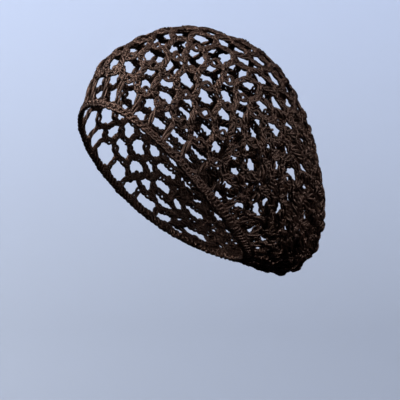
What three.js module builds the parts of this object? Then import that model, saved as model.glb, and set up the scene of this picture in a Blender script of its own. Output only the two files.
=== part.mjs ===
import * as THREE from 'three';

// Crochet hair snood in the form it takes when worn: an open net bag on a plump edge band.
// Millimetres, +Z up. The opening's front lies towards -Y and its left side towards +X.
// The origin is at the inside of the crown's top, in the middle plane.

// Sizes of the whole net.
const WIDTH = 170;
const LENGTH = 266;
const HEIGHT = 256;

// Sizes of the net's wall and gaps.
const NET_THICKNESS = 3;
const LARGEST_GAP = 26;
const GAP_SHARE = 0.76;

// Sizes of the edge band, across its flat and through it.
const BAND_WIDTH = 8;
const BAND_THICKNESS = 5;
const BAND_STANDOFF = 1;
const PIECE_GAP = 0.3;

// Loops that the net is stretched over, from the edge band to the centre of the back.
// along: place from band to centre. y values are shares of LENGTH, z of HEIGHT, half of WIDTH.
// top and nape: where the loop crosses the middle plane. bow: share of LENGTH that the sides
// lean out of the loop's plane. egg: how much narrower the loop is towards its top.
const LOOP_COLUMNS = ['along', 'topY', 'topZ', 'napeY', 'napeZ', 'half', 'bow', 'egg'];
const LOOPS = [
  [0, -0.424, -0.27, 0.245, -0.915, 0.397, -0.043, -0.06],
  [0.09, -0.375, -0.139, 0.337, -0.946, 0.451, -0.019, 0.11],
  [0.2, -0.254, -0.058, 0.42, -0.979, 0.494, -0.004, 0.06],
  [0.34, -0.047, 0.001, 0.481, -0.998, 0.496, 0, -0.04],
  [0.5, 0.141, -0.022, 0.537, -0.962, 0.475, 0, 0.03],
  [0.66, 0.293, -0.075, 0.558, -0.888, 0.381, 0, 0],
  [0.8, 0.399, -0.194, 0.569, -0.771, 0.281, 0, 0],
  [0.92, 0.496, -0.357, 0.571, -0.64, 0.172, 0, 0],
  [1, 0.559, -0.502, 0.566, -0.513, 0.011, 0, 0],
];
const LOOP_SQUARENESS = 2.1;

// Rounds of gaps, from the edge band to the centre: where each round ends and its gap count.
// The last one ends beside the small plain hole at the centre of the back.
const ROUND_COLUMNS = ['end', 'gaps'];
const ROUNDS = [
  [0.105, 18],
  [0.215, 18],
  [0.335, 18],
  [0.465, 18],
  [0.6, 18],
  [0.735, 14],
  [0.865, 10],
  [0.985, 6],
];

// Shape of a round's zigzag edge and of a gap, and how finely they are cut.
const ZIGZAG_SHARE = 0.12;
const GAP_CORNERS = 12;
const GAP_SQUARENESS = 2.6;
const BAND_STEPS = 72;
const BAND_SECTION_STEPS = 10;
const CENTRE_STEPS = 24;
const FRONT_CROWDING_SHARE = 0.16;

const LOOP_SAMPLES = 360;
const ALONG_SAMPLES = 80;
const SHARE_SAMPLES = 120;

function readColumns(rows, columns) {
  return rows.map((row) => Object.fromEntries(columns.map((name, i) => [name, row[i]])));
}

const loops = readColumns(LOOPS, LOOP_COLUMNS);
const rounds = readColumns(ROUNDS, ROUND_COLUMNS);

// Slope of one column of the loop table at one of its rows.
function tableSlope(name, i) {
  const chord = (k) => (loops[k + 1][name] - loops[k][name]) / (loops[k + 1].along - loops[k].along);
  const last = loops.length - 1;
  if (i === 0) {
    return 1.5 * chord(0) - 0.5 * tableSlope(name, 1);
  }
  if (i === last) {
    return 1.5 * chord(last - 1) - 0.5 * tableSlope(name, last - 1);
  }
  const before = loops[i].along - loops[i - 1].along;
  const after = loops[i + 1].along - loops[i].along;
  return (chord(i - 1) * after + chord(i) * before) / (before + after);
}

const slopes = loops.map((_, i) => Object.fromEntries(
  LOOP_COLUMNS.map((name) => [name, tableSlope(name, i)]),
));

// One smoothly blended row of the loop table.
function loopAt(along) {
  let i = 0;
  while (i < loops.length - 2 && loops[i + 1].along <= along) {
    i += 1;
  }
  const span = loops[i + 1].along - loops[i].along;
  const x = (along - loops[i].along) / span;
  const blended = {};
  for (const name of LOOP_COLUMNS) {
    const ends = loops[i][name] * (1 + 2 * x) * (1 - x) ** 2 + loops[i + 1][name] * x * x * (3 - 2 * x);
    const bend = slopes[i][name] * x * (1 - x) ** 2 - slopes[i + 1][name] * x * x * (1 - x);
    blended[name] = ends + span * bend;
  }
  return blended;
}

function signedPower(value, power) {
  return Math.sign(value) * Math.abs(value) ** power;
}

// Point of a loop at an angle: 0 is on top, a quarter turn is at the +X side.
function pointOnLoop(loop, angle) {
  const centreY = (loop.topY + loop.napeY) * LENGTH / 2;
  const centreZ = (loop.topZ + loop.napeZ) * HEIGHT / 2;
  const reachY = (loop.topY - loop.napeY) * LENGTH / 2;
  const reachZ = (loop.topZ - loop.napeZ) * HEIGHT / 2;
  const reach = Math.hypot(reachY, reachZ);
  const lean = loop.bow * LENGTH * Math.sin(angle) ** 2;
  const up = signedPower(Math.cos(angle), 2 / LOOP_SQUARENESS);
  const side = signedPower(Math.sin(angle), 2 / LOOP_SQUARENESS);
  return new THREE.Vector3(
    loop.half * WIDTH * side * (1 - loop.egg * up),
    centreY + reachY * up + lean * reachZ / reach,
    centreZ + reachZ * up - lean * reachY / reach,
  );
}

// Angles that divide a loop into equal lengths.
function evenAngles(loop) {
  const sums = [0];
  let last = pointOnLoop(loop, 0);
  for (let i = 1; i <= LOOP_SAMPLES; i += 1) {
    const next = pointOnLoop(loop, 2 * Math.PI * i / LOOP_SAMPLES);
    sums.push(sums[i - 1] + next.distanceTo(last));
    last = next;
  }
  const angles = [];
  let i = 0;
  for (let k = 0; k <= SHARE_SAMPLES; k += 1) {
    const wanted = sums[LOOP_SAMPLES] * k / SHARE_SAMPLES;
    while (i < LOOP_SAMPLES - 1 && sums[i + 1] < wanted) {
      i += 1;
    }
    angles.push(2 * Math.PI * (i + (wanted - sums[i]) / (sums[i + 1] - sums[i])) / LOOP_SAMPLES);
  }
  return angles;
}

const angleTable = Array.from(
  { length: ALONG_SAMPLES + 1 },
  (_, i) => evenAngles(loopAt(i / ALONG_SAMPLES)),
);

// Point of the net's middle surface. around counts one turn from the top; gaps crowd at the top.
function middlePoint(along, around) {
  const part = around - Math.floor(around);
  const share = part - FRONT_CROWDING_SHARE * Math.sin(2 * Math.PI * part) / (2 * Math.PI);
  const row = Math.min(Math.floor(along * ALONG_SAMPLES), ALONG_SAMPLES - 1);
  const column = Math.min(Math.floor(share * SHARE_SAMPLES), SHARE_SAMPLES - 1);
  const inRow = along * ALONG_SAMPLES - row;
  const inColumn = share * SHARE_SAMPLES - column;
  const near = THREE.MathUtils.lerp(angleTable[row][column], angleTable[row][column + 1], inColumn);
  const far = THREE.MathUtils.lerp(angleTable[row + 1][column], angleTable[row + 1][column + 1], inColumn);
  return pointOnLoop(loopAt(along), THREE.MathUtils.lerp(near, far, inRow));
}

// Middle point with its directions: across runs from the band to the centre, out is outwards.
function frameAt(along, around) {
  const low = Math.max(along - 0.004, 0);
  const high = Math.min(along + 0.004, 0.998);
  const toCentre = middlePoint(high, around).sub(middlePoint(low, around));
  const turning = middlePoint(along, around + 0.004).sub(middlePoint(along, around - 0.004));
  const out = new THREE.Vector3().crossVectors(turning, toCentre).normalize();
  const across = new THREE.Vector3().crossVectors(out, turning).normalize();
  return { point: middlePoint(along, around), across, out };
}

// Vertices and triangles of one closed piece.
class Piece {
  constructor() {
    this.points = [];
    this.triangles = [];
  }

  add(point) {
    this.points.push(point);
    return this.points.length - 1;
  }

  quad(a, b, c, d) {
    this.triangles.push([a, b, c], [a, c, d]);
  }

  signedVolume() {
    let sum = 0;
    for (const [a, b, c] of this.triangles) {
      sum += this.points[a].dot(new THREE.Vector3().crossVectors(this.points[b], this.points[c]));
    }
    return sum / 6;
  }

  toMesh(name, material) {
    if (this.signedVolume() < 0) {
      this.triangles = this.triangles.map(([a, b, c]) => [a, c, b]);
    }
    const geometry = new THREE.BufferGeometry();
    geometry.setAttribute('position', new THREE.Float32BufferAttribute(
      this.points.flatMap((p) => [p.x, p.y, p.z]),
      3,
    ));
    geometry.setIndex(this.triangles.flat());
    geometry.computeVertexNormals();
    const mesh = new THREE.Mesh(geometry, material);
    mesh.name = name;
    return mesh;
  }
}

// A pair of vertices, on the net's outer face and on its inner face.
function addWallPair(piece, point, out) {
  return {
    outer: piece.add(point.clone().addScaledVector(out, NET_THICKNESS / 2)),
    inner: piece.add(point.clone().addScaledVector(out, -NET_THICKNESS / 2)),
  };
}

// Posts between the gaps of a round: every second round is shifted by half a gap.
function postPlaces(roundIndex) {
  const { gaps } = rounds[roundIndex];
  const shift = roundIndex % 2 === 0 ? 0 : 0.5;
  return Array.from({ length: gaps }, (_, i) => (i + shift) / gaps);
}

// Line of wall pairs between two rounds: it dips at the posts below and rises at those above.
function zigzagLine(piece, index) {
  const places = [];
  const below = rounds[index].gaps;
  const above = rounds[index + 1].gaps;
  const tolerance = 0.22 / Math.max(below, above);
  const start = index === 0 ? 0 : rounds[index - 1].end;
  const dip = ZIGZAG_SHARE * (rounds[index].end - start);
  const rise = ZIGZAG_SHARE * (rounds[index + 1].end - rounds[index].end);
  for (const place of postPlaces(index)) {
    places.push({ place, below: true, above: false });
  }
  for (const place of postPlaces(index + 1)) {
    const near = places.find((p) => p.below && Math.abs(p.place - place) < tolerance);
    if (near) {
      near.above = true;
      near.place = (near.place + place) / 2;
    } else {
      places.push({ place, below: false, above: true });
    }
  }
  places.sort((a, b) => a.place - b.place);
  for (const item of places) {
    let along = rounds[index].end;
    if (item.below && !item.above) {
      along -= dip;
    }
    if (item.above && !item.below) {
      along += rise;
    }
    const frame = frameAt(along, item.place);
    item.along = along;
    item.pair = addWallPair(piece, frame.point, frame.out);
  }
  return places;
}

// The net's edge beside the band: it stands off the band by the gap between pieces.
function bandSideLine(piece) {
  const posts = postPlaces(0);
  const reach = BAND_WIDTH / 2 + PIECE_GAP;
  return Array.from({ length: BAND_STEPS }, (_, i) => {
    const place = i / BAND_STEPS;
    const frame = frameAt(0, place);
    const point = frame.point.clone().addScaledVector(frame.across, reach);
    return {
      place,
      along: 0.015,
      below: false,
      above: posts.some((post) => Math.abs(post - place) < 1e-9),
      pair: addWallPair(piece, point, frame.out),
    };
  });
}

// The net's plain inner edge around the centre of the back.
function centreLine(piece) {
  const last = rounds.length - 1;
  const posts = postPlaces(last);
  return Array.from({ length: CENTRE_STEPS }, (_, i) => {
    const place = i / CENTRE_STEPS;
    const frame = frameAt(rounds[last].end, place);
    return {
      place,
      along: rounds[last].end,
      below: posts.some((post) => Math.abs(post - place) < 1e-9),
      above: false,
      pair: addWallPair(piece, frame.point, frame.out),
    };
  });
}

// The stretch of a line between two neighbouring posts, in order, across the turn's start too.
function stretch(line, side, index) {
  const marks = line.map((item, i) => (item[side] ? i : -1)).filter((i) => i >= 0);
  const from = marks[index];
  const to = marks[(index + 1) % marks.length];
  const found = [];
  for (let i = from; ; i = (i + 1) % line.length) {
    const turn = found.length > 0 && line[i].place < found[0].place ? 1 : 0;
    found.push({ ...line[i], place: line[i].place + turn });
    if (i === to && found.length > 1) {
      return found;
    }
  }
}

// One cell of the net: a wall with a rounded gap through it.
function addCell(piece, lower, upper) {
  const left = (lower[0].place + upper[0].place) / 2;
  const right = (lower[lower.length - 1].place + upper[upper.length - 1].place) / 2;
  const middleAround = (left + right) / 2;
  const lowMiddle = lower.reduce((sum, p) => sum + p.along, 0) / lower.length;
  const highMiddle = upper.reduce((sum, p) => sum + p.along, 0) / upper.length;
  const middleAlong = (lowMiddle + highMiddle) / 2;
  const halfAround = (right - left) / 2;
  const halfAlong = (highMiddle - lowMiddle) / 2;

  const pitchAround = middlePoint(middleAlong, middleAround - halfAround)
    .distanceTo(middlePoint(middleAlong, middleAround + halfAround));
  const pitchAlong = middlePoint(middleAlong - halfAlong, middleAround)
    .distanceTo(middlePoint(middleAlong + halfAlong, middleAround));
  const gapAround = Math.min(GAP_SHARE * pitchAround, LARGEST_GAP) / pitchAround;
  const gapAlong = Math.min(GAP_SHARE * pitchAlong, LARGEST_GAP) / pitchAlong;

  const local = (item) => Math.atan2(
    (item.along - middleAlong) / halfAlong,
    (item.place - middleAround) / halfAround,
  );
  const outline = [...lower, ...upper.slice().reverse()].map((item) => ({
    turn: local(item),
    pair: item.pair,
  }));
  const gap = Array.from({ length: GAP_CORNERS }, (_, i) => {
    const angle = 2 * Math.PI * (i + 0.5) / GAP_CORNERS - Math.PI;
    const x = signedPower(Math.cos(angle), 2 / GAP_SQUARENESS);
    const y = signedPower(Math.sin(angle), 2 / GAP_SQUARENESS);
    const frame = frameAt(
      middleAlong + y * gapAlong * halfAlong,
      middleAround + x * gapAround * halfAround,
    );
    return {
      turn: Math.atan2(y * gapAlong, x * gapAround),
      pair: addWallPair(piece, frame.point, frame.out),
    };
  });
  stitchRings(piece, sortByTurn(outline), sortByTurn(gap));
}

function sortByTurn(items) {
  return items.slice().sort((a, b) => a.turn - b.turn);
}

// Fills the wall between a cell's outline and its gap, on both faces, and lines the gap.
function stitchRings(piece, outline, gap) {
  let i = 0;
  let j = 0;
  while (i < outline.length || j < gap.length) {
    const a = outline[i % outline.length].pair;
    const b = gap[j % gap.length].pair;
    const nextOutline = i < outline.length ? midTurn(outline, i) : Infinity;
    const nextGap = j < gap.length ? midTurn(gap, j) : Infinity;
    if (nextOutline <= nextGap) {
      const c = outline[(i + 1) % outline.length].pair;
      piece.triangles.push([a.outer, c.outer, b.outer], [a.inner, b.inner, c.inner]);
      i += 1;
    } else {
      const c = gap[(j + 1) % gap.length].pair;
      piece.triangles.push([a.outer, c.outer, b.outer], [a.inner, b.inner, c.inner]);
      piece.quad(b.outer, c.outer, c.inner, b.inner);
      j += 1;
    }
  }
}

// Turn of the middle of one side of a ring.
function midTurn(ring, i) {
  const next = ring[(i + 1) % ring.length].turn + (i + 1 >= ring.length ? 2 * Math.PI : 0);
  return (ring[i].turn + next) / 2;
}

function lineEdge(piece, line, flip) {
  line.forEach((item, i) => {
    const a = item.pair;
    const b = line[(i + 1) % line.length].pair;
    if (flip) {
      piece.quad(a.outer, a.inner, b.inner, b.outer);
    } else {
      piece.quad(a.outer, b.outer, b.inner, a.inner);
    }
  });
}

function makeNet(material) {
  const piece = new Piece();
  const lines = [bandSideLine(piece)];
  for (let k = 0; k < rounds.length - 1; k += 1) {
    lines.push(zigzagLine(piece, k));
  }
  lines.push(centreLine(piece));
  rounds.forEach((round, k) => {
    for (let i = 0; i < round.gaps; i += 1) {
      addCell(piece, stretch(lines[k], 'above', i), stretch(lines[k + 1], 'below', i));
    }
  });
  lineEdge(piece, lines[0], true);
  lineEdge(piece, lines[lines.length - 1], false);
  return piece.toMesh('net', material);
}

function makeEdgeBand(material) {
  const piece = new Piece();
  const rings = Array.from({ length: BAND_STEPS }, (_, i) => {
    const { point, across, out } = frameAt(0, i / BAND_STEPS);
    const centre = point.clone().addScaledVector(out, BAND_STANDOFF);
    return Array.from({ length: BAND_SECTION_STEPS }, (__, k) => {
      const angle = 2 * Math.PI * k / BAND_SECTION_STEPS;
      const vertex = centre.clone()
        .addScaledVector(across, Math.cos(angle) * BAND_WIDTH / 2)
        .addScaledVector(out, Math.sin(angle) * BAND_THICKNESS / 2);
      return piece.add(vertex);
    });
  });
  rings.forEach((ring, i) => {
    const next = rings[(i + 1) % rings.length];
    ring.forEach((vertex, k) => {
      const other = (k + 1) % ring.length;
      piece.quad(vertex, next[k], next[other], ring[other]);
    });
  });
  return piece.toMesh('edge_band', material);
}

const yarn = { color: 0x33231e, roughness: 0.42, metalness: 0 };
const netMaterial = new THREE.MeshStandardMaterial(yarn);
const bandMaterial = new THREE.MeshStandardMaterial({ ...yarn, color: 0x3a2822 });

const snood = new THREE.Group();
snood.name = 'crochet_hair_snood';
snood.add(makeNet(netMaterial));
snood.add(makeEdgeBand(bandMaterial));

export default snood;
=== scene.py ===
"""Dark brown crochet snood in its worn form, in a plain pale studio.

The scene is in metres with +Z up. Sizes of the net and of its yarn are in millimetres.
Places on the net are given as along, the share of the way from the edge band to the centre
of the back, and around, the share of the loop's length from its top.
"""

import math

import bpy
import numpy as np
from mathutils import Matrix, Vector


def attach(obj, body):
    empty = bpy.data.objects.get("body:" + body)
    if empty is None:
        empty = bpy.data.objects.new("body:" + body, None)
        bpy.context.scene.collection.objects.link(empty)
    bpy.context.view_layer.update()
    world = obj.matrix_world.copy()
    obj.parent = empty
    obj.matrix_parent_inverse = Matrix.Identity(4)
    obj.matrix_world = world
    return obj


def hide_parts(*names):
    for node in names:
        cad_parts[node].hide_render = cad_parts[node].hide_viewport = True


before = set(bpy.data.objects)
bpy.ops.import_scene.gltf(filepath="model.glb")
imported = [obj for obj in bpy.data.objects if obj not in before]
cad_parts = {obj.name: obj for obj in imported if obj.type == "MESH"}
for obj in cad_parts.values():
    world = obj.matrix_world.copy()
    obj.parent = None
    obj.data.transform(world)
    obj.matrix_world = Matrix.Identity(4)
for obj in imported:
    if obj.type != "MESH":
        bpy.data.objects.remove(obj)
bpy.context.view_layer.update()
scene = bpy.context.scene
MM = 0.001
TURN = 2 * math.pi

# Sizes of the whole net, as in the solids
WIDTH = 170.0
LENGTH = 266.0
HEIGHT = 256.0
LOOP_SQUARENESS = 2.1

# Loops that the net is stretched over, from the edge band to the centre of the back.
# Columns: along, the top's y and z, the nape's y and z, half the width, how far the sides bend
# towards the back, and how much narrower the top is. Lengths are shares of the sizes above.
LOOPS = np.array([
    (0, -0.424, -0.27, 0.245, -0.915, 0.397, -0.043, -0.06),
    (0.09, -0.375, -0.139, 0.337, -0.946, 0.451, -0.019, 0.11),
    (0.2, -0.254, -0.058, 0.42, -0.979, 0.494, -0.004, 0.06),
    (0.34, -0.047, 0.001, 0.481, -0.998, 0.496, 0, -0.04),
    (0.5, 0.141, -0.022, 0.537, -0.962, 0.475, 0, 0.03),
    (0.66, 0.293, -0.075, 0.558, -0.888, 0.381, 0, 0),
    (0.8, 0.399, -0.194, 0.569, -0.771, 0.281, 0, 0),
    (0.92, 0.496, -0.357, 0.571, -0.64, 0.172, 0, 0),
    (1.0, 0.559, -0.502, 0.566, -0.513, 0.011, 0, 0),
])

# Rounds of meshes, from the band to the centre of the back.
# Columns: where it ends along the net, how many meshes it has, its turn in meshes, and how its
# meshes crowd, once and twice around the loop.
ROUNDS = [
    (0.077, 30, 0.90, 0.035, 0.224),
    (0.146, 30, 0.15, 0.048, 0.139),
    (0.215, 30, 0.56, 0.149, 0.095),
    (0.280, 30, 0.71, 0.217, -0.05),
    (0.351, 30, 0.73, 0.221, -0.07),
    (0.438, 30, 0.54, 0.129, 0.014),
    (0.535, 30, 0.93, 0.05, 0.0),
    (0.645, 30, 0.2, 0.0, 0.0),
    (0.750, 24, 0.5, 0.0, 0.0),
    (0.845, 20, 0.8, 0.0, 0.0),
    (0.915, 14, 0.2, 0.0, 0.0),
    (0.982, 7, 0.5, 0.0, 0.0),
]
FIRST_FEET = 0.002
CENTRE_RING_AT = ROUNDS[-1][0]

# Radius of most strands, in millimetres
STRAND_RADIUS = 1.2

# Guards against a length of zero, and against rounding when meshes are counted
TINY = 1e-12
COUNT_TOLERANCE = 1e-6

rng = np.random.default_rng(20)


# Helpers
def unit(vectors):
    return vectors / (np.linalg.norm(vectors, axis=-1, keepdims=True) + TINY)


def ramp(value, start, end):
    """0 up to start and 1 from end on; start may be the larger of the two."""
    return np.clip((value - start) / (end - start), 0, 1)


def signed_power(value, power):
    return np.sign(value) * np.abs(value) ** power


def pick(spans, count):
    """Even random values between the two ends of spans."""
    return rng.uniform(*spans, count)


def pick_sides(count):
    """Random directions of twist, -1 or 1."""
    return rng.choice([-1.0, 1.0], count)


# Surface of the net
ALONG_STEPS = 120
SHARE_STEPS = 240
ANGLE_STEPS = 720


def table_slopes(table):
    """Slopes of a table's columns against its first, for a smooth curve through its rows."""
    x = table[:, 0]
    chord = np.diff(table[:, 1:], axis=0) / np.diff(x)[:, None]
    slopes = np.zeros((len(table), table.shape[1] - 1))
    before = np.diff(x)[:-1, None]
    after = np.diff(x)[1:, None]
    slopes[1:-1] = (chord[:-1] * after + chord[1:] * before) / (before + after)
    slopes[0] = 1.5 * chord[0] - 0.5 * slopes[1]
    slopes[-1] = 1.5 * chord[-1] - 0.5 * slopes[-2]
    return slopes


LOOP_SLOPES = table_slopes(LOOPS)


def loops_at(along):
    """Smoothly blended rows of the loop table, without the along column."""
    along = np.asarray(along, float)
    i = np.clip(np.searchsorted(LOOPS[:, 0], along, side="right") - 1, 0, len(LOOPS) - 2)
    span = (LOOPS[i + 1, 0] - LOOPS[i, 0])[..., None]
    x = ((along - LOOPS[i, 0]) / span[..., 0])[..., None]
    ends = LOOPS[i, 1:] * (1 + 2 * x) * (1 - x) ** 2 + LOOPS[i + 1, 1:] * x * x * (3 - 2 * x)
    bend = LOOP_SLOPES[i] * x * (1 - x) ** 2 - LOOP_SLOPES[i + 1] * x * x * (1 - x)
    return ends + span * bend


def loop_points(along, angle):
    """Points of the loops at the given angles; 0 is at the top, a quarter turn at the +X side."""
    top_y, top_z, nape_y, nape_z, half, bow, egg = np.moveaxis(loops_at(along), -1, 0)
    reach_y = (top_y - nape_y) * LENGTH / 2
    reach_z = (top_z - nape_z) * HEIGHT / 2
    reach = np.hypot(reach_y, reach_z)
    lean = bow * LENGTH * np.sin(angle) ** 2
    up = signed_power(np.cos(angle), 2 / LOOP_SQUARENESS)
    side = signed_power(np.sin(angle), 2 / LOOP_SQUARENESS)
    return np.stack([
        half * WIDTH * side * (1 - egg * up),
        (top_y + nape_y) * LENGTH / 2 + reach_y * up + lean * reach_z / reach,
        (top_z + nape_z) * HEIGHT / 2 + reach_z * up - lean * reach_y / reach,
    ], -1)


def make_angle_grid():
    """Angles at even shares of each loop's length, with a row for each step along the net."""
    angles = np.linspace(0, TURN, ANGLE_STEPS + 1)
    shares = np.linspace(0, 1, SHARE_STEPS + 1)
    rows = []
    for along in np.linspace(0, 1, ALONG_STEPS + 1):
        points = loop_points(np.full(angles.shape, along), angles)
        run = np.concatenate([[0], np.cumsum(np.linalg.norm(np.diff(points, axis=0), axis=1))])
        rows.append(np.interp(shares, run / run[-1], angles))
    return np.array(rows)


ANGLE_GRID = make_angle_grid()


def net_point(along, around):
    """Points of the net's middle surface."""
    along = np.clip(along, 0, 1)
    share = np.mod(around, 1.0)
    row = np.minimum((along * ALONG_STEPS).astype(int), ALONG_STEPS - 1)
    column = np.minimum((share * SHARE_STEPS).astype(int), SHARE_STEPS - 1)
    in_row = along * ALONG_STEPS - row
    in_column = share * SHARE_STEPS - column
    near = ANGLE_GRID[row, column] * (1 - in_column) + ANGLE_GRID[row, column + 1] * in_column
    far = ANGLE_GRID[row + 1, column] * (1 - in_column) + ANGLE_GRID[row + 1, column + 1] * in_column
    return loop_points(along, near * (1 - in_row) + far * in_row)


# Slack of the net: most towards the nape, a little elsewhere, none at the band and the centre.
# Each fade is from no slack to full slack, as places along the net.
NAPE_AROUND = 0.5
SLACK_REACH = 0.2
SLACK_ELSEWHERE = 0.2
NAPE_SLACK_FADE = (0.8, 0.6)
BAND_FADE = (0, 0.06)
CENTRE_FADE = (1, 0.9)

# How far the slack moves a place: along and around as shares, height in millimetres
SLACK_ALONG = 0.0115
SLACK_AROUND = 0.008
SLACK_HEIGHT = 1.0

# Waves of the slack. Columns: waves around the loop, waves along the net, phase, share.
INWARDS_WAVES = ((13, -4.2, 1.1, 1.0), (9, 7.7, 3.0, 0.8))
SIDEWAYS_WAVES = ((11, 3.1, 0.4, 1.0), (17, -6.3, 2.0, 0.8))
HEIGHT_WAVES = ((10, 5.3, 5.0, 1.0), (19, -3.7, 0.7, 0.7))

# Small step over the net that gives its directions, and the last place along it that is used
PROBE = 0.004
LAST_ALONG = 0.999


def waves(rows, along, around):
    """Sum of waves over the net."""
    around_angle = TURN * around
    along_angle = TURN * along
    return sum(
        share * np.sin(turns_around * around_angle + turns_along * along_angle + phase)
        for turns_around, turns_along, phase, share in rows
    )


def slackened(along, around):
    """Places moved a little where the net hangs slack, and the height added there."""
    from_nape = np.abs(np.mod(around, 1.0) - NAPE_AROUND)
    slack = SLACK_ELSEWHERE + np.exp(-(from_nape / SLACK_REACH) ** 2) * ramp(along, *NAPE_SLACK_FADE)
    slack = slack * ramp(along, *BAND_FADE) * ramp(along, *CENTRE_FADE)
    return (
        along + SLACK_ALONG * slack * waves(INWARDS_WAVES, along, around),
        around + SLACK_AROUND * slack * waves(SIDEWAYS_WAVES, along, around),
        SLACK_HEIGHT * slack * waves(HEIGHT_WAVES, along, around),
    )


def net_frame(along, around):
    """Point, direction around the loop, direction towards the centre and outward direction."""
    along, around, height = slackened(np.asarray(along, float), np.asarray(around, float))
    ahead = net_point(np.minimum(along + PROBE, LAST_ALONG), around)
    behind = net_point(np.maximum(along - PROBE, 0), around)
    turning = net_point(along, around + PROBE) - net_point(along, around - PROBE)
    out = unit(np.cross(turning, ahead - behind))
    turning = unit(turning)
    across = np.cross(out, turning)
    return net_point(along, around) + out * height[..., None], turning, across, out


def on_net(path):
    """Points and outward directions of (tubes, steps, 3) rows of along, around and height."""
    point, _, _, out = net_frame(path[..., 0], path[..., 1])
    return point + out * path[..., 2:3], out


# Yarn tubes
TUBE_SIDES = 6
LOOP_SIDES = 5
# How far the yarn's pattern runs on from the last step of a closed tube to its first
CLOSING_RUN = 1.0


def directions_along(paths, closed):
    if closed:
        return unit(np.roll(paths, -1, 1) - np.roll(paths, 1, 1))
    return unit(np.gradient(paths, axis=1))


def side_and_up(tangent, out):
    """The two directions across a tangent; up is the nearer to out."""
    side = unit(np.cross(tangent, out))
    return side, np.cross(side, tangent)


class Yarns:
    """Tubes of yarn collected into one mesh of quads."""

    def __init__(self):
        self.points = []
        self.faces = []
        self.uvs = []
        self.count = 0

    def add(self, paths, outs, radius, sides=TUBE_SIDES, closed=False):
        """paths and outs: (tubes, steps, 3) arrays of centre points and rough outward directions."""
        paths = np.asarray(paths, float)
        tubes, steps, _ = paths.shape
        side, up = side_and_up(directions_along(paths, closed), outs)
        angle = (np.arange(sides) * TURN / sides)[:, None]
        ring = np.cos(angle) * side[:, :, None] + np.sin(angle) * up[:, :, None]
        radius = np.broadcast_to(np.asarray(radius, float), (tubes, steps))
        points = paths[:, :, None] + ring * radius[:, :, None, None]

        length = np.linalg.norm(np.diff(paths, axis=1), axis=2)
        run = np.concatenate([np.zeros((tubes, 1)), np.cumsum(length, axis=1)], 1)
        number = self.count + np.arange(tubes * steps * sides).reshape(tubes, steps, sides)
        self.points.append(points.reshape(-1, 3))
        self.count += number.size
        if closed:
            number = np.concatenate([number, number[:, :1]], 1)
            run = np.concatenate([run, run[:, -1:] + CLOSING_RUN], 1)
        self.add_walls(number, run)
        if not closed:
            self.add_tips(number[:, 0, ::-1], run[:, 0])
            self.add_tips(number[:, -1], run[:, -1])

    def add_walls(self, number, run):
        """Quads between the rings of point numbers, with the yarn's pattern laid along them."""
        here, following = number[:, :-1], number[:, 1:]
        sides = number.shape[2]
        quads = [here, following, np.roll(following, -1, 2), np.roll(here, -1, 2)]
        turned = np.broadcast_to(np.arange(sides) / sides, here.shape)
        turned_on = turned + 1 / sides
        run_here = np.broadcast_to(run[:, :-1, None], here.shape)
        run_on = np.broadcast_to(run[:, 1:, None], here.shape)
        spots = [run_here, turned, run_on, turned, run_on, turned_on, run_here, turned_on]
        self.faces.append(np.stack(quads, -1).reshape(-1, 4))
        self.uvs.append(np.stack(spots, -1).reshape(-1, 2))

    def add_tips(self, ring, run):
        """Quads over one end of each tube; a ring has an even number of points."""
        sides = ring.shape[1]
        first = np.arange(1, sides - 2, 2)
        corners = np.stack([0 * first, first + 2, first + 1, first], -1)
        spots = np.stack(np.broadcast_arrays(run[:, None], np.arange(sides) / sides), -1)
        self.faces.append(ring[:, corners].reshape(-1, 4))
        self.uvs.append(spots[:, corners].reshape(-1, 2))

    def to_object(self, name, material):
        points = np.concatenate(self.points) * MM
        faces = np.concatenate(self.faces)
        uvs = np.concatenate(self.uvs)
        mesh = bpy.data.meshes.new(name)
        mesh.vertices.add(len(points))
        mesh.vertices.foreach_set("co", points.ravel())
        mesh.loops.add(faces.size)
        mesh.loops.foreach_set("vertex_index", faces.ravel().astype(np.int32))
        mesh.polygons.add(len(faces))
        mesh.polygons.foreach_set("loop_start", np.arange(0, faces.size, 4, dtype=np.int32))
        mesh.polygons.foreach_set("use_smooth", np.ones(len(faces), dtype=bool))
        layer = mesh.uv_layers.new(name="yarn")
        layer.data.foreach_set("uv", uvs.ravel())
        mesh.update()
        mesh.validate()
        mesh.materials.append(material)
        piece = bpy.data.objects.new(name, mesh)
        scene.collection.objects.link(piece)
        return piece


def smooth_path(controls, steps):
    """Catmull-Rom curve through controls (tubes, n, k), sampled at steps places."""
    controls = np.asarray(controls, float)
    n = controls.shape[1]
    padded = np.concatenate([
        2 * controls[:, :1] - controls[:, 1:2],
        controls,
        2 * controls[:, -1:] - controls[:, -2:-1],
    ], 1)
    t = np.linspace(0, n - 1, steps)
    i = np.minimum(t.astype(int), n - 2)
    x = (t - i)[None, :, None]
    a, b, c, d = (padded[:, i + k] for k in range(4))
    return 0.5 * (2 * b + (c - a) * x + (2 * a - 5 * b + 4 * c - d) * x ** 2
                  + (3 * b - a - 3 * c + d) * x ** 3)


# Bunching: strands spread and look thicker low down and at the back, where nothing stretches
# them. The fade is in millimetres down, to which a share of the way back is added.
BUNCHING_FADE = (60, 210)
BUNCHING_BACK_SHARE = 0.5
BUNCHED_SPREAD = 0.7
BUNCHED_THICKNESS = 0.35

# Strands of a bundle: how flat they lie, and how their tips draw together and thin out
BUNDLE_FLATNESS = 0.6
TIP_SPREAD = 0.3
TIP_SPREAD_RISE = 4.5
TIP_THICKNESS = 0.15
TIP_THICKNESS_RISE = 7.0


def fullness(points):
    """How far strands spread, against 1 where they are stretched."""
    low_and_back = BUNCHING_BACK_SHARE * points[..., 1] - points[..., 2]
    return 1 + BUNCHED_SPREAD * ramp(low_and_back, *BUNCHING_FADE)


def swell(full):
    """How thick a strand looks, against 1 where it is stretched."""
    return 1 - BUNCHED_THICKNESS + BUNCHED_THICKNESS * full


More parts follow.
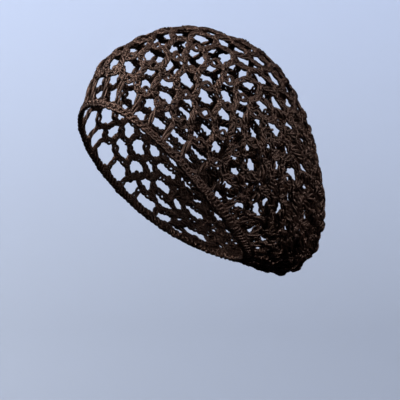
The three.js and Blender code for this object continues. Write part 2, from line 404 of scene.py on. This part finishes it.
def strand_bundle(yarns, path, outs, spread, turns, phase, plies=2):
    """Strands that lie beside each other along each path and cross; their tips draw together."""
    side, up = side_and_up(directions_along(path, False), outs)
    share = np.linspace(0, 1, path.shape[1])
    from_tip = np.minimum(share, 1 - share)
    apart = np.clip(TIP_SPREAD + TIP_SPREAD_RISE * from_tip, 0, 1)
    slim = np.clip(TIP_THICKNESS + TIP_THICKNESS_RISE * from_tip, 0, 1)
    full = fullness(path)
    for k in range(plies):
        angle = TURN * (turns[:, None] * share + phase[:, None] + k / plies)
        offset = np.cos(angle)[..., None] * side + BUNDLE_FLATNESS * np.sin(angle)[..., None] * up
        strand = path + offset * (spread * apart * full)[..., None]
        yarns.add(strand, outs, STRAND_RADIUS * slim * swell(full))


def rings(yarns, centre, axis, out, radius, tilt, strand, flatness, steps):
    """Closed loops of yarn round each centre, lying across an axis that is tilted sideways."""
    axis = unit(axis + np.cross(axis, out) * tilt[:, None])
    side, up = side_and_up(axis, out)
    angle = (np.arange(steps) * TURN / steps)[None, :, None]
    full = fullness(centre)
    reach = (radius * full)[:, None, None]
    path = (centre[:, None] + np.cos(angle) * side[:, None] * reach
            + np.sin(angle) * up[:, None] * reach * flatness)
    thick = strand * swell(full)[:, None]
    yarns.add(path, np.broadcast_to(axis[:, None], path.shape), thick, LOOP_SIDES, closed=True)


# Chain stitches, in millimetres or as shares of one stitch.
# A stitch starts low in the one before, widens, rises, and dips again at its rounded end.
STITCH_STEPS = 14
STITCH_OVERLAP = 1.3
STITCH_START_WIDTH = 0.55
STITCH_END_WIDTH = 0.5
STITCH_CREST = 0.35
STITCH_START_DIP = 1.25
STITCH_END_DIP = 0.55
STITCH_WIDTHS = (0.85, 1.15)
STITCH_PLACE_JITTER = 0.25
STITCH_SIDE_JITTER = 0.22
STITCH_HEIGHT_JITTER = 0.12
STITCH_PROBE = 0.8
# The strand that runs on inside a chain: its steps and how deep it lies
CORE_STEP = 1.6
CORE_DEPTH = 0.9


def along_line(values, run, where):
    """Values at the points of a closed line, read off at lengths along it."""
    closed = np.concatenate([values, values[:1]])
    flat = np.mod(where, run[-1]).ravel()
    found = [np.interp(flat, run, column) for column in closed.T]
    return np.stack(found, -1).reshape(where.shape + (-1,))


def chain_stitches(yarns, points, outs, slimness, length, half_width, strand):
    """Teardrop loops, each drawn through the one before, along a closed line of points."""
    steps = np.linalg.norm(np.roll(points, -1, 0) - points, axis=1)
    run = np.concatenate([[0], np.cumsum(steps)])
    total = run[-1]
    count = int(round(total / length))
    around = np.arange(STITCH_STEPS) * TURN / STITCH_STEPS
    reach = 0.5 * (1 - np.cos(around))
    number = np.arange(count)[:, None]
    place = (number + STITCH_OVERLAP * reach) * total / count
    place = place + rng.normal(0, STITCH_PLACE_JITTER, (count, 1))
    width = half_width * np.sin(around) * (STITCH_START_WIDTH + STITCH_END_WIDTH * reach)
    width = width * pick(STITCH_WIDTHS, (count, 1)) + rng.normal(0, STITCH_SIDE_JITTER, (count, 1))
    height = STITCH_CREST - STITCH_START_DIP * (1 - reach) ** 2 - STITCH_END_DIP * reach ** 4
    height = height + rng.normal(0, STITCH_HEIGHT_JITTER, (count, 1))

    centre = along_line(points, run, place)
    out = unit(along_line(outs, run, place))
    ahead = along_line(points, run, place + STITCH_PROBE)
    behind = along_line(points, run, place - STITCH_PROBE)
    side = unit(np.cross(unit(ahead - behind), out))
    full = fullness(centre)
    width = width * along_line(slimness[:, None], run, place)[..., 0]
    path = centre + side * (width * full)[..., None] + out * height[..., None]
    yarns.add(path, out, strand * swell(full), LOOP_SIDES, closed=True)

    core_steps = int(total / CORE_STEP)
    core = np.arange(core_steps) * total / core_steps
    core_out = unit(along_line(outs, run, core))
    core_path = along_line(points, run, core) - core_out * CORE_DEPTH
    yarns.add(core_path[None], core_out[None], strand, LOOP_SIDES, closed=True)


# Lay-out of the meshes. Jitters are spreads of chance, as shares of a mesh or of a round's depth.
POST_TOP_SHARE = 0.16
POST_FOOT_SHARE = 0.15
POST_JITTER = 0.05
CORNER_JITTER = 0.03
# Posts past both ends of a round that are looked at when it is joined to the next
PAST_ENDS = 6
# How far eyelets open, as shares of their full reach, in the first rounds and in the later ones
OPEN_ROUNDS = 4
OPEN_EYELETS = (0.75, 1.1)
CLOSED_EYELETS = (0.2, 0.8)


def crowd(turns, once, twice):
    """Turns around a loop, drawn together once and twice on the way."""
    return turns - once * np.sin(TURN * turns) / TURN - twice * np.sin(2 * TURN * turns) / (2 * TURN)


class Round:
    """One round of posts; tops and feet are shares of the loop's length."""

    def __init__(self, index):
        self.end, self.count, self.turn, self.once, self.twice = ROUNDS[index]
        self.start = ROUNDS[index - 1][0] if index else FIRST_FEET
        self.depth = self.end - self.start
        self.jitter = rng.normal(0, POST_JITTER, self.count)
        self.top_at = self.end - POST_TOP_SHARE * self.depth
        self.foot_at = self.start + (POST_FOOT_SHARE * self.depth if index else 0)
        self.tops = self.place(np.arange(self.count))
        self.feet = self.tops

    def place(self, number):
        """Where a post stands; a number past the count is a whole turn further on."""
        jitter = self.jitter[np.mod(number, self.count)]
        return crowd((number + self.turn - 0.5 + jitter) / self.count, self.once, self.twice)


def join_rounds(below, above):
    """Let the tops of one round and the feet of the next take turns along their chain."""
    number = np.arange(-PAST_ENDS, below.count + PAST_ENDS)
    place = below.place(number)
    gap = (number + below.turn - 0.5) * above.count / below.count - above.turn + 0.5
    gap = np.floor(gap + COUNT_TOLERANCE).astype(int)
    first = np.searchsorted(gap, gap, side="left")
    in_gap = np.searchsorted(gap, gap, side="right") - first
    order = np.arange(len(gap)) - first
    left = above.place(gap)
    right = above.place(gap + 1)
    between = left + (right - left) * (order + 1) / (in_gap + 1)
    below.tops = ((place + between) / 2)[PAST_ENDS:PAST_ENDS + below.count]
    upper = np.arange(above.count)
    after = np.searchsorted(gap, upper, side="left")
    between_posts = (place[after - 1] + place[after]) / 2
    above.feet = (above.place(upper) + between_posts) / 2


rounds = [Round(i) for i in range(len(ROUNDS))]
for lower_round, upper_round in zip(rounds, rounds[1:]):
    join_rounds(lower_round, upper_round)


# Chains and eyelets, in millimetres or as shares of the stretch between two posts
CHAIN_STITCH_LENGTH = 6.2
CHAIN_HALF_WIDTH = 2.9
CHAIN_BEND = 0.4
CHAIN_STEPS = 12
EYELET_REACH = 4.2
EYELET_LENGTH = 11.0
EYELET_SPREAD = 0.85
EYELET_TURNS = (0.4, 0.8)
EYELET_STRETCH = (0.23, 0.77)
EYELET_ROUNDNESS = 0.8
# How much slimmer the chain is beside an eyelet
EYELET_SLIMMING = 0.72
# Eyelets close towards the bottom of the net, between these heights and by this share
EYELET_CLOSING_FADE = (-120, -190)
EYELET_CLOSING = 0.8
WHOLE_TURN = [1, 0, 0, 0]


def chain_corners(index):
    """Corners of the chain on top of a round, in order.

    Columns: around, along, 1 at a post above, and how far an eyelet that follows would open.
    """
    here = rounds[index]
    corners = [(np.mod(place, 1.0), here.top_at, 0, 0) for place in here.tops]
    if index + 1 < len(rounds):
        above = rounds[index + 1]
        corners += [(np.mod(place, 1.0), above.foot_at, 1, 0) for place in above.feet]
    corners = np.array(sorted(corners))
    corners[:, 1] += rng.normal(0, CORNER_JITTER, len(corners)) * here.depth
    corners[:, 3] = pick(OPEN_EYELETS if index < OPEN_ROUNDS else CLOSED_EYELETS, len(corners))
    return corners


def eyelet_at(corners):
    """Where an eyelet follows a corner, its sideways direction, and how far it opens."""
    ahead = np.roll(corners, -1, 0)
    here, _, _, out = net_frame(corners[:, 1], corners[:, 0])
    there = np.roll(here, -1, 0)
    sideways = unit(np.cross(out + np.roll(out, -1, 0), there - here))
    length = np.linalg.norm(there - here, axis=1)
    closing = EYELET_CLOSING * ramp(here[:, 2], *EYELET_CLOSING_FADE)
    reach = EYELET_REACH * corners[:, 3] * ramp(length, 0, EYELET_LENGTH) * (1 - closing)
    return (corners[:, 2] == 0) & (ahead[:, 2] == 1), sideways, reach


def eyelet_bow(x):
    """Shape of an eyelet's side along the stretch between its two posts."""
    return np.sin(math.pi * ramp(x, *EYELET_STRETCH)) ** EYELET_ROUNDNESS


def chain_line(corners):
    """Closed line of a chain, which bows down and is slim beside each eyelet."""
    n = len(corners)
    padded = np.concatenate([corners[-1:] - WHOLE_TURN, corners, corners[:2] + WHOLE_TURN])[:, :2]
    p0, p1, p2, p3 = (padded[k:k + n][:, None] for k in range(4))
    x = np.linspace(0, 1, CHAIN_STEPS, endpoint=False)[None, :, None]
    ends = p1 * (1 + 2 * x) * (1 - x) ** 2 + p2 * x * x * (3 - 2 * x)
    bend = CHAIN_BEND * (p2 - p0) * x * (1 - x) ** 2 - CHAIN_BEND * (p3 - p1) * x * x * (1 - x)
    curve = ends + bend
    point, _, _, out = net_frame(curve[..., 1], curve[..., 0])
    has_eyelet, sideways, reach = eyelet_at(corners)
    bow = eyelet_bow(x[..., 0]) * has_eyelet[:, None]
    point = point - sideways[:, None] * (bow * reach[:, None])[..., None]
    slimness = 1 - EYELET_SLIMMING * bow
    return point.reshape(-1, 3), out.reshape(-1, 3), slimness.ravel()


def add_eyelets(yarns, corners):
    """A pair of strands round the upper side of each eyelet, between a post below and one above."""
    has_eyelet, sideways, reach = eyelet_at(corners)
    ahead = np.concatenate([corners[1:], corners[:1] + WHOLE_TURN])
    first, last = corners[has_eyelet, None], ahead[has_eyelet, None]
    x = np.linspace(0, 1, CHAIN_STEPS)[None, :, None]
    place = first + (last - first) * x
    point, _, _, out = net_frame(place[..., 1], place[..., 0])
    bow = eyelet_bow(x[..., 0]) * reach[has_eyelet, None]
    point = point + sideways[has_eyelet, None] * bow[..., None]
    count = len(point)
    turns = pick_sides(count) * pick(EYELET_TURNS, count)
    strand_bundle(yarns, point, out, EYELET_SPREAD, turns, pick((0, 1), count))


# Posts, in millimetres, turns or shares. The first round's are slimmer, with no loop round them.
POST_STEPS = 14
POST_CONTROLS = 5
POST_TURNS = (0.5, 0.9)
POST_SPREAD = 2.2
POST_PLIES = 4
FIRST_POST_SPREAD = 1.7
FIRST_POST_PLIES = 3
POST_LEAN_JITTER = 0.05
POST_RISE = 0.4
RING_STEPS = 12
POST_WRAP_RADIUS = 2.7
POST_WRAP_SIZES = (0.9, 1.15)
POST_WRAP_JITTER = 0.5
POST_WRAP_TILT = 1.3
POST_WRAP_TILT_JITTER = 0.3
POST_WRAP_FLATNESS = 0.5

# Knots: how far beside the post they lie, and their loops.
# Columns: place across the chain, and which way and how far the loop leans.
KNOT_ASIDE = 1.5
KNOT_LOOPS = ((-1.6, 1.0), (0.1, -0.2), (1.7, -1.0))
KNOT_RADIUS = 2.7
KNOT_SIZES = (0.85, 1.15)
KNOT_TILTS = (0.6, 1.4)
KNOT_JITTER = 0.4
KNOT_FLATNESS = 0.45

# Braces of the first round: radius and height in millimetres, and places as shares of a mesh
# or of the round's depth
BRACE_RADIUS = 1.15
BRACE_STEPS = 9
BRACE_START = 0.36
BRACE_RISES = (0.22, 0.32)
BRACE_SAGS = (0.0, 0.05)
BRACE_HEIGHT = 0.3


def post_lines(index):
    """Centre lines of a round's posts as along, around and height."""
    here = rounds[index]
    lean = rng.normal(0, POST_LEAN_JITTER, here.count) / here.count
    lines = np.zeros((here.count, POST_CONTROLS, 3))
    for k, x in enumerate(np.linspace(0, 1, POST_CONTROLS)):
        arch = math.sin(math.pi * x)
        lines[:, k, 0] = here.foot_at + (here.top_at - here.foot_at) * x
        lines[:, k, 1] = here.feet + (here.tops - here.feet) * x + lean * arch
        lines[:, k, 2] = POST_RISE * arch
    return smooth_path(lines, POST_STEPS)


def add_posts(yarns, index):
    """Tall stitches: strands that twist together, in later rounds with a loop round their middle."""
    count = rounds[index].count
    path, outs = on_net(post_lines(index))
    turns = pick_sides(count) * pick(POST_TURNS, count)
    spread, plies = (POST_SPREAD, POST_PLIES) if index else (FIRST_POST_SPREAD, FIRST_POST_PLIES)
    strand_bundle(yarns, path, outs, spread, turns, pick((0, 1), count), plies)
    if index:
        middle = (POST_STEPS - 1) // 2
        axis = unit(path[:, middle + 1] - path[:, middle - 1])
        centre = path[:, middle] + axis * rng.normal(0, POST_WRAP_JITTER, count)[:, None]
        radius = POST_WRAP_RADIUS * pick(POST_WRAP_SIZES, count)
        tilt = POST_WRAP_TILT + rng.normal(0, POST_WRAP_TILT_JITTER, count)
        rings(yarns, centre, axis, outs[:, middle], radius, tilt, STRAND_RADIUS,
              POST_WRAP_FLATNESS, RING_STEPS)


def add_knots(yarns, index):
    """Loops of yarn bunched where a post meets the chains."""
    here = rounds[index]
    tops = (here.tops, here.top_at, -KNOT_ASIDE)
    feet = (here.feet, here.foot_at, KNOT_ASIDE)
    for around, along, aside in (tops, feet):
        point, turning, across, out = net_frame(np.full(here.count, along), around)
        for lift, lean in KNOT_LOOPS:
            radius = KNOT_RADIUS * pick(KNOT_SIZES, here.count)
            tilt = lean * pick(KNOT_TILTS, here.count)
            centre = point + across * (lift + rng.normal(0, KNOT_JITTER, here.count))[:, None]
            centre = centre + turning * (aside + rng.normal(0, KNOT_JITTER, here.count))[:, None]
            rings(yarns, centre, across, out, radius, tilt, STRAND_RADIUS, KNOT_FLATNESS, RING_STEPS)


def add_braces(yarns):
    """In the first round, a yarn from the band up to the side of the next post."""
    here = rounds[0]
    next_foot = np.append(here.feet[1:], here.feet[0] + 1)
    next_top = np.append(here.tops[1:], here.tops[0] + 1)
    rise = pick(BRACE_RISES, here.count)
    start = here.feet + BRACE_START * (next_foot - here.feet)
    start_at = np.full(here.count, here.foot_at)
    end = next_foot + (next_top - next_foot) * rise
    end_at = here.foot_at + (here.top_at - here.foot_at) * rise
    middle_at = (start_at + end_at) / 2 - pick(BRACE_SAGS, here.count) * here.depth
    height = np.full(here.count, BRACE_HEIGHT)
    path = np.stack([
        np.stack([start_at, start, height], -1),
        np.stack([middle_at, (start + end) / 2, height], -1),
        np.stack([end_at, end, height], -1),
    ], 1)
    points, outs = on_net(smooth_path(path, BRACE_STEPS))
    yarns.add(points, outs, BRACE_RADIUS)


def make_round(index):
    """One round of posts with the chain on top of it, its eyelets and its knots."""
    yarns = Yarns()
    add_posts(yarns, index)
    corners = chain_corners(index)
    points, outs, slimness = chain_line(corners)
    chain_stitches(yarns, points, outs, slimness, CHAIN_STITCH_LENGTH, CHAIN_HALF_WIDTH, STRAND_RADIUS)
    if index + 1 < len(rounds):
        add_eyelets(yarns, corners)
    add_knots(yarns, index)
    if index == 0:
        add_braces(yarns)
    return yarns


# Edge band, in millimetres. Heights are above the net's middle surface.
BAND_LINE_STEPS = 600
BAND_MIDDLE = 0.7
BAND_STITCH_LIFT = 0.9
BAND_STITCH_LENGTH = 5.8
BAND_HALF_WIDTH = 2.9
BAND_STRAND_RADIUS = 1.55
BAND_WRAP_SPACING = 5.2
BAND_WRAP_JITTER = 0.12
BAND_WRAP_HEIGHT = 0.6
BAND_WRAP_RADIUS = 2.75
BAND_WRAP_STRAND = 1.3
BAND_WRAP_SIZES = (0.9, 1.1)
BAND_WRAP_TILTS = (0.2, 0.6)
BAND_WRAP_FLATNESS = 0.5
BAND_WRAP_STEPS = 14

# Start ring: strands twisted round each other in a small ring
START_RING_STEPS = 96
START_RING_PLIES = 3
START_RING_TWISTS = 8
START_RING_SPREAD = 1.1


def make_band():
    """A row of wide looped stitches over wraps of yarn, all round the opening."""
    yarns = Yarns()
    around = np.arange(BAND_LINE_STEPS) / BAND_LINE_STEPS
    point, _, _, out = net_frame(np.zeros(BAND_LINE_STEPS), around)
    middle = point + out * BAND_MIDDLE
    chain_stitches(yarns, middle + out * BAND_STITCH_LIFT, out, np.ones(BAND_LINE_STEPS),
                   BAND_STITCH_LENGTH, BAND_HALF_WIDTH, BAND_STRAND_RADIUS)
    length = np.linalg.norm(np.roll(middle, -1, 0) - middle, axis=1).sum()
    count = int(round(length / BAND_WRAP_SPACING))
    around = (np.arange(count) + rng.normal(0, BAND_WRAP_JITTER, count)) / count
    point, turning, _, out = net_frame(np.zeros(count), around)
    radius = BAND_WRAP_RADIUS * pick(BAND_WRAP_SIZES, count)
    tilt = pick(BAND_WRAP_TILTS, count)
    rings(yarns, point + out * BAND_WRAP_HEIGHT, turning, out, radius, tilt, BAND_WRAP_STRAND,
          BAND_WRAP_FLATNESS, BAND_WRAP_STEPS)
    return yarns


def make_start_ring():
    """Three twisted strands round the centre of the back."""
    yarns = Yarns()
    around = np.arange(START_RING_STEPS) / START_RING_STEPS
    point, _, across, out = net_frame(np.full(START_RING_STEPS, CENTRE_RING_AT), around)
    for k in range(START_RING_PLIES):
        angle = (TURN * around * START_RING_TWISTS + TURN * k / START_RING_PLIES)[:, None]
        path = point + START_RING_SPREAD * (across * np.cos(angle) + out * np.sin(angle))
        yarns.add(path[None], out[None], STRAND_RADIUS, closed=True)
    return yarns


# Materials
TWIST_PER_MM = 0.11
PLIES_IN_STRAND = 5
PATCH_SCALE = 90.0
PATCH_DETAIL = 3.0
PATCH_EDGES = (0.35, 0.72)
# Painted shade and light over the plies: the brown is scaled by the first in the grooves and by the
# second on the crests
PLY_PAINTED_SHADE_RANGE = (0.72, 1.12)
PLY_BUMP = 0.5
PLY_DEPTH = 0.2 * MM
YARN_ROUGHNESS = 0.35
YARN_SPECULAR = 0.3
SHEEN_TINT = (1.0, 0.60, 0.46, 1)
NET_BROWNS = ((0.0014, 0.0006, 0.0005, 1), (0.0090, 0.0041, 0.0028, 1))
BAND_BROWNS = ((0.0016, 0.0007, 0.0006, 1), (0.0120, 0.0055, 0.0038, 1))


def node(tree, kind, **values):
    made = tree.nodes.new(kind)
    for key, value in values.items():
        setattr(made, key, value)
    return made


def maths(tree, operation, *values):
    """Result of a maths node over sockets and numbers."""
    made = node(tree, "ShaderNodeMath", operation=operation)
    for socket, value in zip(made.inputs, values):
        if isinstance(value, bpy.types.NodeSocket):
            tree.links.new(value, socket)
        else:
            socket.default_value = value
    return made.outputs[0]


def principled(name):
    """A new material, its node tree and its shader."""
    material = bpy.data.materials.new(name)
    material.use_nodes = True
    return material, material.node_tree, material.node_tree.nodes["Principled BSDF"]


def ply_wave(tree):
    """Wave over the slanting plies of a strand, from its length and its turn; it drives their bump and
    the painted shade in their grooves.
    """
    uv = node(tree, "ShaderNodeUVMap", uv_map="yarn")
    split = node(tree, "ShaderNodeSeparateXYZ")
    tree.links.new(uv.outputs["UV"], split.inputs[0])
    twist = maths(tree, "MULTIPLY", split.outputs["X"], TWIST_PER_MM)
    slant = maths(tree, "ADD", twist, split.outputs["Y"])
    return maths(tree, "SINE", maths(tree, "MULTIPLY", slant, TURN * PLIES_IN_STRAND))


def brown_patches(tree, browns):
    """Brown that varies from place to place between a dark and a light one."""
    coords = node(tree, "ShaderNodeTexCoord")
    patches = node(tree, "ShaderNodeTexNoise")
    patches.inputs["Scale"].default_value = PATCH_SCALE
    patches.inputs["Detail"].default_value = PATCH_DETAIL
    tree.links.new(coords.outputs["Object"], patches.inputs["Vector"])
    blend = node(tree, "ShaderNodeValToRGB")
    for element, edge, brown in zip(blend.color_ramp.elements, PATCH_EDGES, browns):
        element.position = edge
        element.color = brown
    tree.links.new(patches.outputs["Fac"], blend.inputs["Fac"])
    return blend.outputs["Color"]


def yarn_material(name, browns):
    """Shiny rayon: fine plies along each strand, with painted shade in the grooves between plies and
    painted light on their crests, and brown that varies from place to place.
    """
    material, tree, shader = principled(name)
    wave = ply_wave(tree)
    # Painted shade: the brown is darker in the grooves between plies and lighter on their crests, in
    # step with the bump
    painted_ply_shade = node(tree, "ShaderNodeMapRange")
    painted_ply_shade.inputs["From Min"].default_value = -1
    painted_ply_shade.inputs["To Min"].default_value, painted_ply_shade.inputs["To Max"].default_value = PLY_PAINTED_SHADE_RANGE
    tree.links.new(wave, painted_ply_shade.inputs["Value"])
    brown_with_painted_ply_shade = node(tree, "ShaderNodeMix", data_type="RGBA", blend_type="MULTIPLY")
    brown_with_painted_ply_shade.inputs["Factor"].default_value = 1.0
    tree.links.new(brown_patches(tree, browns), brown_with_painted_ply_shade.inputs["A"])
    tree.links.new(painted_ply_shade.outputs["Result"], brown_with_painted_ply_shade.inputs["B"])
    tree.links.new(brown_with_painted_ply_shade.outputs["Result"], shader.inputs["Base Color"])

    bump = node(tree, "ShaderNodeBump")
    bump.inputs["Strength"].default_value = PLY_BUMP
    bump.inputs["Distance"].default_value = PLY_DEPTH
    tree.links.new(wave, bump.inputs["Height"])
    tree.links.new(bump.outputs["Normal"], shader.inputs["Normal"])
    shader.inputs["Roughness"].default_value = YARN_ROUGHNESS
    shader.inputs["Specular IOR Level"].default_value = YARN_SPECULAR
    shader.inputs["Specular Tint"].default_value = SHEEN_TINT
    return material


net_yarn = yarn_material("net_yarn_look", NET_BROWNS)
band_yarn = yarn_material("band_yarn_look", BAND_BROWNS)


# Pieces
# Columns: yarns, name, look, slot, and the solid that the piece replaces
pieces = [
    (make_round(i), f"net_round_{i + 1:02d}", net_yarn, "net_yarn", "net")
    for i in range(len(ROUNDS))
]
pieces.append((make_start_ring(), "start_ring", net_yarn, "net_yarn", "net"))
pieces.append((make_band(), "edge_band_stitches", band_yarn, "band_yarn", "edge_band"))
for yarns, name, look, slot_name, cad_node in pieces:
    piece = yarns.to_object(name, look)
    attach(piece, "root")
    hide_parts(cad_node)


# Stage, in metres
FLOOR_Z = -0.7
FLOOR_RADII = (0.6, 1.2, 1.7)
BEND_RADIUS = 1.1
BEND_STEPS = 16
WALL_TOP_Z = 2.6
STAGE_SEGMENTS = 96
# Painted shade on the stage: the paper blends from a darker, greyer colour at the floor to a lighter,
# bluer one over this height
PAPER_SHADE_BLEND_HEIGHT = 0.9
LOW_PAPER_PAINTED_SHADE = (0.42, 0.44, 0.48, 1)
HIGH_PAPER = (0.60, 0.65, 0.76, 1)
PAPER_ROUGHNESS = 0.9
PAPER_SPECULAR = 0.1


def stage_mesh():
    """A disc that curves up into a wall all round."""
    edge = FLOOR_RADII[-1]
    profile = [(radius, FLOOR_Z) for radius in FLOOR_RADII]
    for k in range(1, BEND_STEPS + 1):
        angle = TURN / 4 * k / BEND_STEPS
        rise = BEND_RADIUS * (1 - math.cos(angle))
        profile.append((edge + BEND_RADIUS * math.sin(angle), FLOOR_Z + rise))
    profile.append((edge + BEND_RADIUS, WALL_TOP_Z))

    turns = [TURN * i / STAGE_SEGMENTS for i in range(STAGE_SEGMENTS)]
    points = [(0, 0, FLOOR_Z)]
    for radius, z in profile:
        points += [(radius * math.cos(turn), radius * math.sin(turn), z) for turn in turns]
    following = [(i + 1) % STAGE_SEGMENTS for i in range(STAGE_SEGMENTS)]
    faces = [(0, 1 + i, 1 + j) for i, j in enumerate(following)]
    for ring in range(len(profile) - 1):
        inner = 1 + ring * STAGE_SEGMENTS
        outer = inner + STAGE_SEGMENTS
        faces += [(inner + i, outer + i, outer + j, inner + j) for i, j in enumerate(following)]
    mesh = bpy.data.meshes.new("studio_floor")
    mesh.from_pydata(points, [], faces)
    mesh.polygons.foreach_set("use_smooth", [True] * len(mesh.polygons))
    mesh.update()
    return mesh


def paper_material():
    """Pale paper with painted shade: darker and greyer on the floor, a little lighter and bluer higher
    up.
    """
    material, tree, shader = principled("studio_paper_painted_shade")
    coords = node(tree, "ShaderNodeTexCoord")
    split = node(tree, "ShaderNodeSeparateXYZ")
    tree.links.new(coords.outputs["Object"], split.inputs[0])
    height = node(tree, "ShaderNodeMapRange")
    height.inputs["From Min"].default_value = FLOOR_Z
    height.inputs["From Max"].default_value = FLOOR_Z + PAPER_SHADE_BLEND_HEIGHT
    tree.links.new(split.outputs["Z"], height.inputs["Value"])
    # Painted shade: darker, greyer paper low down, lighter and bluer higher up
    paper = node(tree, "ShaderNodeMix", data_type="RGBA")
    paper.inputs["A"].default_value = LOW_PAPER_PAINTED_SHADE
    paper.inputs["B"].default_value = HIGH_PAPER
    tree.links.new(height.outputs["Result"], paper.inputs["Factor"])
    tree.links.new(paper.outputs["Result"], shader.inputs["Base Color"])
    shader.inputs["Roughness"].default_value = PAPER_ROUGHNESS
    shader.inputs["Specular IOR Level"].default_value = PAPER_SPECULAR
    return material


def make_stage():
    mesh = stage_mesh()
    mesh.materials.append(paper_material())
    floor = bpy.data.objects.new("studio_floor", mesh)
    scene.collection.objects.link(floor)
    floor.visible_glossy = False
    return floor


studio_floor = make_stage()


def direction(azimuth, elevation):
    """Direction away from the net, in degrees; azimuth 0 is towards -Y and 90 towards +X."""
    a = math.radians(azimuth)
    e = math.radians(elevation)
    return Vector((math.sin(a) * math.cos(e), -math.cos(a) * math.cos(e), math.sin(e)))


# Camera: the place that it looks at, inside the net, shows at LOOK_AT_PIXEL of the square image
LOOK_AT = Vector((0.0, -0.010, -0.1342))
CAMERA_AZIMUTH = 47.24
CAMERA_ELEVATION = 5.90
CAMERA_DISTANCE = 1.235
IMAGE_PIXELS = 400
FOCAL_PIXELS = 1260.0
LOOK_AT_PIXEL = (180.5, 165.9)
SENSOR_WIDTH = 36.0
CLIP_DISTANCES = (0.05, 20.0)


def make_camera():
    back = direction(CAMERA_AZIMUTH, CAMERA_ELEVATION)
    data = bpy.data.cameras.new("camera")
    data.sensor_fit = "HORIZONTAL"
    data.sensor_width = SENSOR_WIDTH
    data.lens = FOCAL_PIXELS / IMAGE_PIXELS * SENSOR_WIDTH
    data.shift_x = (IMAGE_PIXELS / 2 - LOOK_AT_PIXEL[0]) / IMAGE_PIXELS
    data.shift_y = (LOOK_AT_PIXEL[1] - IMAGE_PIXELS / 2) / IMAGE_PIXELS
    data.clip_start, data.clip_end = CLIP_DISTANCES
    camera = bpy.data.objects.new("camera", data)
    camera.location = LOOK_AT + back * CAMERA_DISTANCE
    camera.rotation_euler = back.to_track_quat("Z", "Y").to_euler()
    scene.collection.objects.link(camera)
    scene.camera = camera


make_camera()


# Light, in metres, degrees and watts.
# Columns: name, azimuth, elevation, distance, size, power, colour.
NEAR_LIGHTS = [
    ("key_light", -12, 48, 0.95, 0.34, 3.7, (1.0, 0.98, 0.95)),
    ("top_light", 20, 80, 0.95, 0.4, 0.8, (0.97, 0.98, 1.0)),
    ("side_light", 112, 22, 1.2, 0.5, 2.8, (0.95, 0.97, 1.0)),
]
WALL_LIGHT = ("wall_light", 300, 20, 2.3, 1.2, 34, (0.93, 0.96, 1.0))
NEAR_SPREAD = 60
WALL_SPREAD = 140
NET_CENTRE = Vector((0, 0.02, -0.12))
WALL_SPOT = Vector((-1.9, 1.7, -0.1))
WORLD_COLOUR = (0.84, 0.89, 1.0, 1)
WORLD_STRENGTH = 1.15


def area_light(row, spread, aim):
    """A round soft light; row has the columns above, from NET_CENTRE, and aim is what it lights."""
    name, azimuth, elevation, distance, size, power, colour = row
    data = bpy.data.lights.new(name, "AREA")
    data.shape = "DISK"
    data.size = size
    data.energy = power
    data.color = colour
    data.spread = math.radians(spread)
    light = bpy.data.objects.new(name, data)
    light.location = NET_CENTRE + direction(azimuth, elevation) * distance
    light.rotation_euler = (light.location - aim).to_track_quat("Z", "Y").to_euler()
    scene.collection.objects.link(light)
    return light


near_lights = [area_light(row, NEAR_SPREAD, NET_CENTRE) for row in NEAR_LIGHTS]
area_light(WALL_LIGHT, WALL_SPREAD, WALL_SPOT)

# The lights near the net leave no bright pool on the floor.
unlit = bpy.data.collections.new("kept_out_of_near_lights")
unlit.objects.link(studio_floor)
unlit.collection_objects[0].light_linking.link_state = "EXCLUDE"
for light in near_lights:
    light.light_linking.receiver_collection = unlit

world = bpy.data.worlds.new("studio_world")
world.use_nodes = True
background = world.node_tree.nodes["Background"]
background.inputs["Color"].default_value = WORLD_COLOUR
background.inputs["Strength"].default_value = WORLD_STRENGTH
world.cycles_visibility.glossy = False
scene.world = world
scene.view_settings.view_transform = "Standard"
